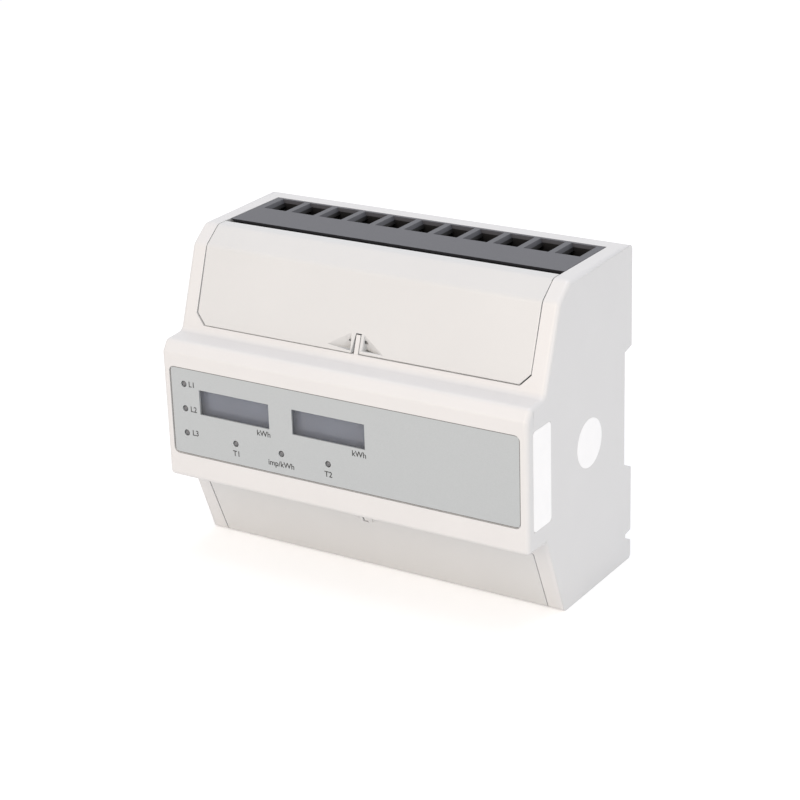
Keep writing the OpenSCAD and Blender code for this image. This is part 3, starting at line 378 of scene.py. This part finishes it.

# %% [markdown]
# ** Terminal blocks.** The blocks are grey polyamide with glass fibre. Only their outer faces, to a depth of
# 1.2 mm, show the grey; everything deeper is painted near black, which is painted shade inside each wire
# entry's mouth and on the body under the covers. The grey is told apart by its distance from the meter's
# middle height: only the outer faces of the upper and the lower block lie that far out. The glass fibre
# breaks the grey up finely.

# %% Polyamide with painted shade
GREY_DEPTH = 1.2 * MM
block_polyamide_painted_shade, tree, surface, where = finish_of("glass_filled_polyamide_painted_shade", "#57585e", 0.50,
                                                 IOR=1.53)
fibre = add_node(tree, "ShaderNodeTexNoise", {"Vector": where, "Scale": per_mm(0.35), "Detail": 2.0})
grey = add_node(tree, "ShaderNodeMix",
                {"Factor": fibre.outputs["Fac"], 6: linear("#4d4e54"), 7: linear("#595a60")},
                data_type="RGBA")
painted_shade_ends = cad_box[1].z - middle.z - GREY_DEPTH
split = add_node(tree, "ShaderNodeSeparateXYZ", {"Vector": where})
from_middle = add_node(tree, "ShaderNodeMath", {0: split.outputs["Z"], 1: middle.z}, operation="SUBTRACT")
either_way = add_node(tree, "ShaderNodeMath", {0: from_middle.outputs[0]}, operation="ABSOLUTE")
outside_painted_shade = add_node(tree, "ShaderNodeMath", {0: either_way.outputs[0], 1: painted_shade_ends},
                    operation="GREATER_THAN")
# Near black nearer the middle height: painted shade in the wire entries and on the body under the covers.
shot = add_node(tree, "ShaderNodeMix",
                {"Factor": outside_painted_shade.outputs[0], 6: linear("#101012"), 7: grey.outputs[2]},
                data_type="RGBA")
tree.links.new(shot.outputs[2], surface.inputs["Base Color"])
raise_by(tree, surface, fibre.outputs["Fac"], 0.014)
print("grey layer starts", round(painted_shade_ends / MM, 2), "mm from the middle height")

# %% [markdown]
# **Printed film.** The front label is a polyester film, printed silver-grey on its back. Silver ink holds
# fine metal flakes, so the grey is never quite even and has a soft sheen.

# %% Printed film
silver_film, tree, surface, where = finish_of("silver_printed_polyester", "#b2b6b8", 0.42, IOR=1.58,
                                              Metallic=0.15)
flakes = add_node(tree, "ShaderNodeTexNoise", {"Vector": where, "Scale": per_mm(0.35), "Detail": 4.0})
vary(tree, surface, flakes.outputs["Fac"], "#acb1b3", "#b7bcbe")
sheen = add_node(tree, "ShaderNodeTexNoise", {"Vector": where, "Scale": per_mm(14.0), "Detail": 1.0})
vary(tree, surface, sheen.outputs["Fac"], 0.36, 0.46, "Roughness")
raise_by(tree, surface, flakes.outputs["Fac"], 0.004)
print("label finish:", silver_film.name)

# %% [markdown]
# **Displays.** A blank liquid crystal cell is two sheets of glass behind a blue-grey polariser, glossy, and
# slightly uneven in tone. The window over it is clear polycarbonate, thin and flat, so it only adds its
# reflection: an almost transparent surface does that, and lets the light through to the cell.

# %% Display glass and window
blank_display, tree, surface, where = finish_of("blank_liquid_crystal", "#4a4f5a", 0.22, IOR=1.52)
cloud = add_node(tree, "ShaderNodeTexNoise", {"Vector": where, "Scale": per_mm(16.0), "Detail": 1.0})
vary(tree, surface, cloud.outputs["Fac"], "#404758", "#586173")

clear_window, tree, surface, where = finish_of("clear_polycarbonate", "#f2f5f7", 0.06, IOR=1.58, Alpha=0.06)
dust = add_node(tree, "ShaderNodeTexNoise", {"Vector": where, "Scale": per_mm(3.0), "Detail": 3.0})
vary(tree, surface, dust.outputs["Fac"], 0.04, 0.10, "Roughness")
print("display finishes:", blank_display.name, "behind", clear_window.name)

# %% [markdown]
# **Indicators.** The light emitting diodes are off: dull grey domes of diffusing epoxy in small round holes.
# The filler that spreads their light makes the grey cloudy, and the dome keeps one soft highlight.

# %% Diffusing epoxy
indicator_epoxy, tree, surface, where = finish_of("diffusing_epoxy", "#66676a", 0.30, IOR=1.54)
haze = add_node(tree, "ShaderNodeTexNoise", {"Vector": where, "Scale": per_mm(0.6), "Detail": 2.0})
vary(tree, surface, haze.outputs["Fac"], "#5c5d60", "#727376")
print("indicator finish:", indicator_epoxy.name)

# %% [markdown]
# **Metals.** Clamps are machined brass, screws are steel under a thin bright zinc coat, and the bars are
# rolled copper with lengthwise rolling marks. The spring is drawn steel wire, the crystal's can is pressed
# nickel-plated steel, and the pins have a thin flash of gold. Marks are noise, drawn out along an axis where
# the coordinates are scaled down. They make the reflection streaky along the marks and soft across them.

# %% Metals
EVEN = (1, 1, 1)
METAL_SPREAD = 0.08


def marked_metal(name, darker, lighter, roughness, squeeze, mark=0.25, depth=0.006):
    """Metal with fine marks: a squeeze under 1 on an axis draws them out along it."""
    made, tree, surface, where = finish_of(name, lighter, roughness, Metallic=1.0)
    along = add_node(tree, "ShaderNodeMapping", {"Vector": where, "Scale": squeeze})
    marks = add_node(tree, "ShaderNodeTexNoise",
                     {"Vector": along.outputs[0], "Scale": per_mm(mark), "Detail": 3.0})
    vary(tree, surface, marks.outputs["Fac"], darker, lighter)
    vary(tree, surface, marks.outputs["Fac"], roughness - METAL_SPREAD, roughness + METAL_SPREAD,
         "Roughness")
    raise_by(tree, surface, marks.outputs["Fac"], depth)
    return made


machined_brass = marked_metal("machined_brass", "#b0934f", "#c9ad68", 0.32, (1, 1, 0.15))
bright_zinc = marked_metal("bright_zinc_plate", "#b9bbbd", "#d3d5d6", 0.28, EVEN, 0.5)
rolled_copper = marked_metal("rolled_copper", "#b3714f", "#cf8b66", 0.34, (0.12, 1, 1))
spring_wire = marked_metal("drawn_spring_steel", "#8f9193", "#b4b6b8", 0.30, EVEN, 0.2)
pressed_can = marked_metal("pressed_nickel_steel", "#b4b5b6", "#cbcccd", 0.26, (1, 1, 0.2), 0.3)
gold_flash = marked_metal("gold_flash", "#c9a24a", "#e0bc62", 0.24, EVEN, 0.3)
print("metals:", ", ".join(finish.name for finish in (machined_brass, bright_zinc, rolled_copper)))

# %% [markdown]
# **Circuit boards.** Green solder resist lies over copper tracks, so the tracks show as lighter, slightly
# raised bands in it. A brick pattern, turned to lie in the board's plane, gives short tracks of random
# brightness at a 1.27 mm pitch, with a narrow gap between each two.

# %% Solder resist over tracks
TRACK_PITCH = 1.27
TRACK_LENGTH = 7.0
TRACK_GAP = 0.12
board_green, tree, surface, where = finish_of("solder_resist_on_glass_epoxy", "#155a33", 0.30, IOR=1.55)
flat = add_node(tree, "ShaderNodeMapping", {"Vector": where, "Rotation": (math.radians(90), 0, 0)})
tracks = add_node(tree, "ShaderNodeTexBrick",
                  {"Vector": flat.outputs[0], "Color1": linear("#000000"), "Color2": linear("#ffffff"),
                   "Mortar": linear("#000000"), "Scale": per_mm(TRACK_PITCH), "Mortar Size": TRACK_GAP,
                   "Brick Width": TRACK_LENGTH, "Row Height": 1.0})
vary(tree, surface, tracks.outputs["Color"], "#0f4527", "#1f6e40")
raise_by(tree, surface, tracks.outputs["Color"], 0.03)
print("tracks", round(TRACK_PITCH * TRACK_LENGTH, 2), "mm long on the boards")

# %% [markdown]
# **Small parts.** Capacitor sleeves are shrunk vinyl, film capacitors and varistors are dipped in epoxy that
# dries with a wavy skin, the contact strips are silicone with carbon layers, and stickers are white vinyl.

# %% Dipped, sleeved and striped parts
def dipped_epoxy(name, darker, lighter, wave):
    """Epoxy dip: glossy, with slow waves where it ran before it set."""
    made, tree, surface, where = finish_of(name, lighter, 0.22, IOR=1.56)
    run = add_node(tree, "ShaderNodeTexNoise", {"Vector": where, "Scale": per_mm(wave), "Detail": 1.0})
    vary(tree, surface, run.outputs["Fac"], darker, lighter)
    raise_by(tree, surface, run.outputs["Fac"], 0.12)
    return made


yellow_dip = dipped_epoxy("yellow_dipped_epoxy", "#b8860f", "#d9a520", 3.0)
blue_dip = dipped_epoxy("blue_dipped_epoxy", "#173f86", "#2357ab", 2.5)
vinyl_sleeve = dipped_epoxy("shrunk_vinyl_sleeve", "#10142c", "#1b2145", 5.0)

contact_rubber, tree, surface, where = finish_of("layered_silicone", "#6d6f73", 0.6, IOR=1.42)
layers = add_node(tree, "ShaderNodeTexWave", {"Vector": where, "Scale": per_mm(3.2), "Distortion": 0.0},
                  bands_direction="X")
vary(tree, surface, layers.outputs["Color"], "#1c1d20", "#8d9096")

white_vinyl, tree, surface, where = finish_of("white_vinyl", "#fdfdfd", 0.35, IOR=1.5)
press = add_node(tree, "ShaderNodeTexNoise", {"Vector": where, "Scale": per_mm(5.0), "Detail": 1.0})
vary(tree, surface, press.outputs["Fac"], "#fafafa", "#ffffff")
raise_by(tree, surface, press.outputs["Fac"], 0.01)
print("small parts:", ", ".join(finish.name for finish in (yellow_dip, blue_dip, vinyl_sleeve)))

# %% [markdown]
# Every node keeps its own place and mesh. Its object only gets the finish that belongs to its record slot,
# so one table from slot to finish covers all of them, and the pieces built further down use it too.

# %% Finish of each slot
FINISH = {
    "housing_plastic": spark_eroded_case, "cover_plastic": smooth_cover, "label_film": silver_film,
    "clear_plastic": clear_window, "lcd_glass": blank_display, "white_plastic": white_frame_plastic,
    "zebra_rubber": contact_rubber, "led_resin": indicator_epoxy, "circuit_board": board_green,
    "plated_pin": gold_flash, "black_moulding": chip_epoxy, "crystal_can": pressed_can,
    "capacitor_sleeve": vinyl_sleeve, "film_capacitor": yellow_dip, "varistor_coat": blue_dip,
    "transformer_case": transformer_plastic, "copper": rolled_copper, "terminal_plastic": block_polyamide_painted_shade,
    "clamp_brass": machined_brass, "zinc_screw": bright_zinc, "clip_plastic": black_polyamide,
    "spring_steel": spring_wire, "sticker_paper": white_vinyl,
}


def coat(piece, slot):
    """Give a piece the one finish of its slot."""
    piece.data.materials.clear()
    piece.data.materials.append(FINISH[slot])


for name, node in frame["nodes"].items():
    coat(node, slot_of[name])
print(len(FINISH), "finishes on", len(frame["nodes"]), "nodes")

# %% [markdown]
# ## Case shells
#
# A moulded case has no knife edges: the tool's own corners are rounded, and light runs along them. There are
# two ways to round edges here. A bevel modifier takes every sharp edge at once, which suits simple pieces.
# For the others, the sharp edges are listed first, so that a test can choose among them, and the bevel
# operator rounds the chosen ones. Weighted normals afterwards keep the large faces flat to the eye.

# %% Tools for rounded edges
SHARP = math.radians(40)
BROKEN_STEPS = 2
WEIGHT_OF_LARGE_FACES = 90


def break_edges(piece, width):
    """Bevel all sharp edges of a piece by a width in millimetres."""
    bevel = piece.modifiers.new("broken_edges", "BEVEL")
    bevel.width = width * MM
    bevel.segments = BROKEN_STEPS
    bevel.limit_method = "ANGLE"
    bevel.angle_limit = SHARP
    bevel.miter_outer = "MITER_ARC"
    only(piece)
    bpy.ops.object.modifier_apply(modifier=bevel.name)


def sharp_edges(piece):
    """Give the number of every edge whose two faces meet at more than the sharp angle."""
    beside = {}
    for face in piece.data.polygons:
        for key in face.edge_keys:
            beside.setdefault(key, []).append(face.normal)
    flat = math.cos(SHARP)
    pairs = {edge.index: beside.get(edge.key, ()) for edge in piece.data.edges}
    return {index for index, pair in pairs.items() if len(pair) == 2 and pair[0].dot(pair[1]) < flat}


def even_shading(piece):
    """Weight the normals by face size, so that a flat face stays flat beside its rounded edge."""
    weighted = piece.modifiers.new("even_shading", "WEIGHTED_NORMAL")
    weighted.keep_sharp = True
    weighted.weight = WEIGHT_OF_LARGE_FACES
    only(piece)
    bpy.ops.object.modifier_apply(modifier=weighted.name)


print("edges over", round(math.degrees(SHARP)), "degrees count as sharp")

# %% [markdown]
# The front shell is rounded widely where its stepped side view meets the two flat sides, because that is
# the edge that catches the light. Those outline edges are the sharp ones that lie in the side planes. The
# rims of the two sticker places are left out, and so are the rail side and the foot, whose ends would grow
# shorter if they were rounded. The bevel isn't clamped, because then the shortest edge of the outline would
# set a thin rounding for all the others.

# %% Front housing
SIDE_ROUND = 1.5 * MM
SIDE_STEPS = 4
NEAR = 0.02 * MM
PLACE_MARGIN = 0.2 * MM
CRISP_BACK = 6 * MM
CRISP_FOOT = 2 * MM
side_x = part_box("front_housing")[1][0]
back_y = cad_box[1].y


def in_sticker_place(point):
    """Tell whether a point lies in one of the two shallow places for stickers."""
    for name in ("side_sticker", "round_sticker"):
        low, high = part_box(name)
        if all(low[i] - PLACE_MARGIN < point[i] < high[i] + PLACE_MARGIN for i in (1, 2)):
            return point.x > 0
    return False


housing = shaped_copy("front_housing", "case_front_shell")
bpy.ops.object.mode_set(mode="OBJECT")
sharp = sharp_edges(housing)
corners = housing.data.vertices
bpy.ops.object.mode_set(mode="EDIT")


def on_outline(edge):
    """Tell whether an edge is part of the case's side view, clear of stickers, back and foot."""
    ends = [corners[i].co for i in edge.vertices]
    if edge.index not in sharp or any(abs(abs(end.x) - side_x) > NEAR for end in ends):
        return False
    centre = (ends[0] + ends[1]) / 2
    at_back_or_foot = centre.y > back_y - CRISP_BACK or centre.z < CRISP_FOOT
    return not at_back_or_foot and not in_sticker_place(centre)


found = pick(housing, "edges", on_outline)
bpy.ops.mesh.bevel(offset=SIDE_ROUND, segments=SIDE_STEPS, affect="EDGES", clamp_overlap=False)
bpy.ops.object.mode_set(mode="OBJECT")
stand_for(housing, "front_housing")
even_shading(housing)
coat(housing, "housing_plastic")
print("rounded", found, "outline edges")

# %% [markdown]
# ## Covers, back and clip
#
# The covers are thin plates with small catches and pivots. Only their long sharp edges are rounded, since
# those draw the lines that the eye follows, and a bevel would eat the small corners of a catch. The lower
# cover is rounded less, because it closes with a narrow gap and has to clear the case all round.

# %% Covers
LONG = 4 * MM
COVER_STEPS = 3

for node, name, width in (("upper_terminal_cover", "upper_cover_shell", 0.45),
                          ("lower_terminal_cover", "lower_cover_shell", 0.20)):
    piece = shaped_copy(node, name)
    bpy.ops.object.mode_set(mode="OBJECT")
    sharp = sharp_edges(piece)
    corners = piece.data.vertices
    bpy.ops.object.mode_set(mode="EDIT")
    found = pick(piece, "edges", lambda edge: edge.index in sharp
                 and (corners[edge.vertices[0]].co - corners[edge.vertices[1]].co).length > LONG)
    bpy.ops.mesh.bevel(offset=width * MM, segments=COVER_STEPS, affect="EDGES", clamp_overlap=False)
    bpy.ops.object.mode_set(mode="OBJECT")
    stand_for(piece, node)
    even_shading(piece)
    coat(piece, slot_of[node])
    print("rounded", found, "long edges of", name)

# %% [markdown]
# The back shell and the rail clip are plain mouldings without a wide rounding. All their sharp edges are
# broken by the same small width, so that they catch a thin line of light instead of ending like cut card.

# %% Pieces with broken edges
BROKEN = 0.20

for node, name in (("rear_housing", "case_back_shell"), ("rail_clip", "rail_clip_slider")):
    piece = shaped_copy(node, name)
    bpy.ops.object.mode_set(mode="OBJECT")
    break_edges(piece, BROKEN)
    stand_for(piece, node)
    even_shading(piece)
    coat(piece, slot_of[node])

# %% [markdown]
# ## Sticker on the side
#
# A die-cut vinyl sticker, bare, with rounded corners. It starts as a box of the sticker's own size. The four
# edges through its thickness are picked by their direction and bevelled round.

# %% Side sticker
STICKER_CORNER = 1.3 * MM
CORNER_STEPS = 6
low, high = (Vector(corner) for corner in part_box("side_sticker"))
bpy.ops.object.select_all(action="DESELECT")
bpy.ops.mesh.primitive_cube_add(size=1, location=(low + high) / 2)
sticker = bpy.context.object
sticker.name = "side_vinyl_sticker"
sticker.scale = high - low
bpy.ops.object.transform_apply(location=False, rotation=False, scale=True)
bpy.ops.object.mode_set(mode="EDIT")
corners = sticker.data.vertices
pick(sticker, "edges",
     lambda edge: abs(corners[edge.vertices[0]].co.x - corners[edge.vertices[1]].co.x) > NEAR)
bpy.ops.mesh.bevel(offset=STICKER_CORNER, segments=CORNER_STEPS, affect="EDGES")
bpy.ops.object.mode_set(mode="OBJECT")
stand_for(sticker, "side_sticker")
coat(sticker, "sticker_paper")

# %% [markdown]
# ## Label with painted shade along its edge
#
# The film lies in a shallow place of the case. The front face of a copy is inset by a narrow width, and
# the ring of faces so made gets a finish of its own: a mottled dark matt grey, which is painted shade along
# the gap between the film and the edge of its place.

# %% Label film
RIM_SHADE_WIDTH = 0.22 * MM
RING_REACH = 1.6 * RIM_SHADE_WIDTH
FACING_FRONT = -0.99
# The dark grey ring is painted shade: the shadow line in the gap round the film.
label_rim_shade, tree, surface, where = finish_of("label_rim_painted_shade", "#6f706f", 0.60, IOR=1.5)
rim_mottle = add_node(tree, "ShaderNodeTexNoise", {"Vector": where, "Scale": per_mm(1.5), "Detail": 3.0})
vary(tree, surface, rim_mottle.outputs["Fac"], "#5c5b59", "#858583")
film = shaped_copy("front_label", "label_film")
label_low, label_high = (Vector(corner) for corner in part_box("front_label"))
pick(film, "polygons", lambda face: face.normal.y < FACING_FRONT)
bpy.ops.mesh.inset(thickness=RIM_SHADE_WIDTH, depth=0)
bpy.ops.object.mode_set(mode="OBJECT")
stand_for(film, "front_label")
coat(film, "label_film")
film.data.materials.append(label_rim_shade)


def beside_rim(face):
    """Tell whether a face of the film lies within the ring of painted shade along its outline."""
    out = min(face.center.x - label_low.x, label_high.x - face.center.x,
              face.center.z - label_low.z, label_high.z - face.center.z)
    return face.normal.y < FACING_FRONT and out < RING_REACH


ring = [face for face in film.data.polygons if beside_rim(face)]
for face in ring:
    face.material_index = 1
print("cut edge of", len(ring), "faces")

# %% [markdown]
# ## Printing on the label
#
# Plain words at the indicators and windows: the phases, the tariffs and the units. They are screen printed
# in a dark ink that is matt and very slightly uneven, from the mesh that it was pressed through.

# %% Print ink
print_ink, tree, surface, where = finish_of("screen_print_ink", "#2c2c2c", 0.55, IOR=1.5)
mesh_marks = add_node(tree, "ShaderNodeTexNoise", {"Vector": where, "Scale": per_mm(0.25), "Detail": 1.0})
vary(tree, surface, mesh_marks.outputs["Fac"], "#242424", "#343434")
print("ink:", print_ink.name)

# %% [markdown]
# Each word is a text object in the built-in font. It is given the thickness of a print, turned to face the
# reader, made a mesh and laid on the film. Its place is measured from the middle of the label, and its size
# from the height of a capital, which is a fixed share of the font's size. Ink spreads a little as it is
# pressed, so the letters are grown by a hair on every side.

# %% Words
INK = 0.012 * MM
INK_SPREAD = 0.035 * MM
CAPITAL = 1.75 * MM
CAPITAL_SHARE = 0.7
label_face = label_low.y
label_middle = (label_low + label_high) / 2


def printed(name, word, along, up):
    """Print a word with its middle so many millimetres along and up from the label's middle."""
    bpy.ops.object.select_all(action="DESELECT")
    bpy.ops.object.text_add(rotation=(math.radians(90), 0, 0))
    text = bpy.context.object
    text.name = name
    text.data.body = word
    text.data.align_x = "CENTER"
    text.data.align_y = "CENTER"
    text.data.size = CAPITAL / CAPITAL_SHARE
    text.data.extrude = INK / 2
    text.data.offset = INK_SPREAD
    bpy.ops.object.convert(target="MESH")
    piece = bpy.context.object
    piece.location = (label_middle.x + along * MM, label_face - INK / 2, label_middle.z + up * MM)
    finish_piece(piece, "meter")
    piece.data.materials.clear()
    piece.data.materials.append(print_ink)


PHASES = (("L1", -52.5, 8.9), ("L2", -52.35, 0.9), ("L3", -52.2, -6.75))
UNITS = (("kWh", -26.7, -2.0), ("kWh", 7.0, -2.0), ("T1", -37.1, -10.45), ("T2", -4.05, -10.5),
         ("imp/kWh", -20.85, -10.7))
for number, (word, along, up) in enumerate(PHASES + UNITS):
    printed(f"print_{number}_{word.replace('/', '_')}", word, along, up)
print(len(PHASES + UNITS), "words on the label at", round(label_face / MM, 2), "mm")

# %% [markdown]
# ## Sizes
#
# The size of the construction is written out. Rounding and printing should hardly change it.

# %% Write the size
print("the meter measures", [round(side / MM, 2) for side in cad_box[1] - cad_box[0]], "mm")
